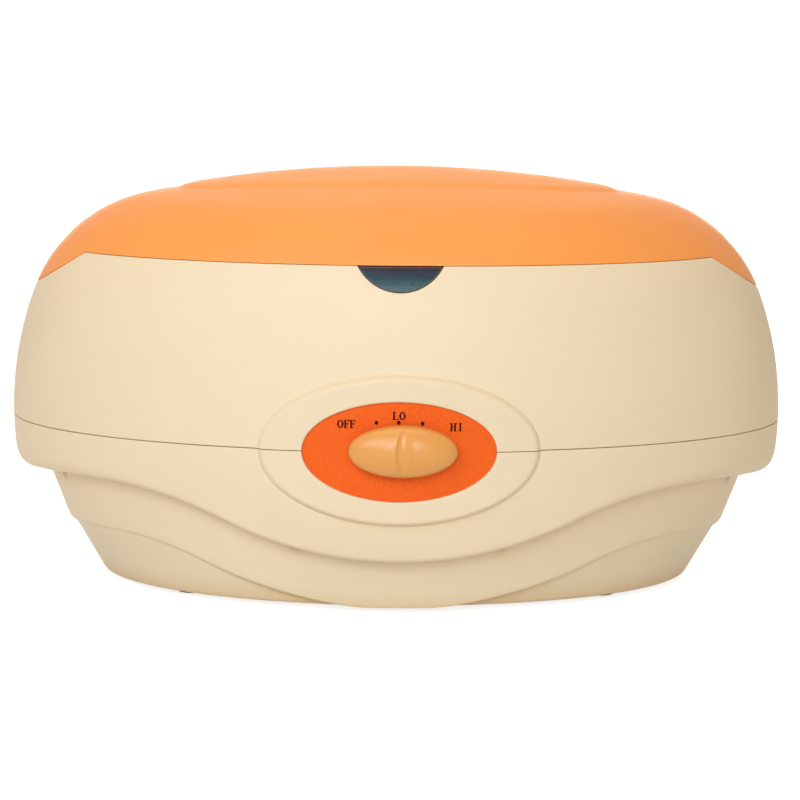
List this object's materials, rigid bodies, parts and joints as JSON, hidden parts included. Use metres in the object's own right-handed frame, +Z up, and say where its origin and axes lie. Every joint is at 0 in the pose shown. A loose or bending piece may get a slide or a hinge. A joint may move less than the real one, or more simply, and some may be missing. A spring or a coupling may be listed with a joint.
{
  "type": "wax warmer",
  "caption": "Oval table-top paraffin wax bath: two-shell moulded housing with a wavy stepped base, lift-off domed lid, heated oval tank with a lift-out grille and a turning heat control.",
  "frame": {"origin": "on the table plane, under the middle of the overall outline", "axes": "+Z up, the heat control faces -Y, +X to the right as seen from the front, so the width runs along X"},
  "size_m": [0.386, 0.2551, 0.206],
  "materials": {
    "cream_shell": "smooth satin moulding",
    "orange_lid": "smooth satin moulding",
    "dial_orange": "fine printed grain",
    "knob_amber": "smooth satin moulding",
    "smoked_lens": "smooth tinted plastic",
    "tank_aluminium": "drawn, satin",
    "plated_steel": "zinc plated",
    "brass": "plain",
    "black_rubber": "matt",
    "silicone_pad": "matt",
    "felt": "needled felt",
    "lamp_red": "clear glass, glowing core",
    "lamp_green": "clear glass",
    "white_nylon": "plain moulding",
    "black_nylon": "plain moulding",
    "lead_sleeve": "woven sleeve"
  },
  "bodies": {
    "housing": {"upper_housing": "cream_shell", "lower_housing": "cream_shell", "base_cover": "cream_shell", "rubber_feet": "black_rubber", "base_screws": "plated_steel", "housing_screws": "plated_steel", "dial_plate": "dial_orange", "indicator_lens": "smoked_lens", "power_lamp": "lamp_red", "ready_lamp": "lamp_green", "lamp_holder": "white_nylon", "inner_tank": "tank_aluminium", "tank_gasket": "black_rubber", "tank_clamps": "plated_steel", "tank_screws": "plated_steel", "heater_plate": "silicone_pad", "heater_clamp": "plated_steel", "heater_nuts": "plated_steel", "insulation_wrap": "felt", "thermostat": "plated_steel", "thermostat_bracket": "plated_steel", "thermostat_nut": "brass", "sensor_bulb": "brass", "capillary_tube": "brass", "thermal_fuse": "tank_aluminium", "fuse_clip": "plated_steel", "terminal_block": "white_nylon", "wiring_loom": "lead_sleeve", "inlet_block": "cream_shell", "cord_gland": "black_nylon", "gland_nut": "black_nylon", "cord_clamp": "black_nylon", "clamp_screws": "plated_steel"},
    "lid": {"lid": "orange_lid"},
    "knob": {"control_knob": "knob_amber", "control_spindle": "plated_steel", "knob_clip": "plated_steel"},
    "grille": {"protective_grille": "white_nylon"}
  },
  "joints": [
    {"name": "lid_lift", "type": "slide", "parent": "housing", "child": "lid", "axis": [0, 0, 1], "range_m": [0, 0.12]},
    {"name": "knob_turn", "type": "hinge", "parent": "housing", "child": "knob", "pos_m": [0.0016, -0.11395, 0.083], "axis": [0, 1, 0], "range_deg": [-64, 64]},
    {"name": "grille_lift", "type": "slide", "parent": "housing", "child": "grille", "axis": [0, 0, 1], "range_m": [0, 0.06]}
  ]
}
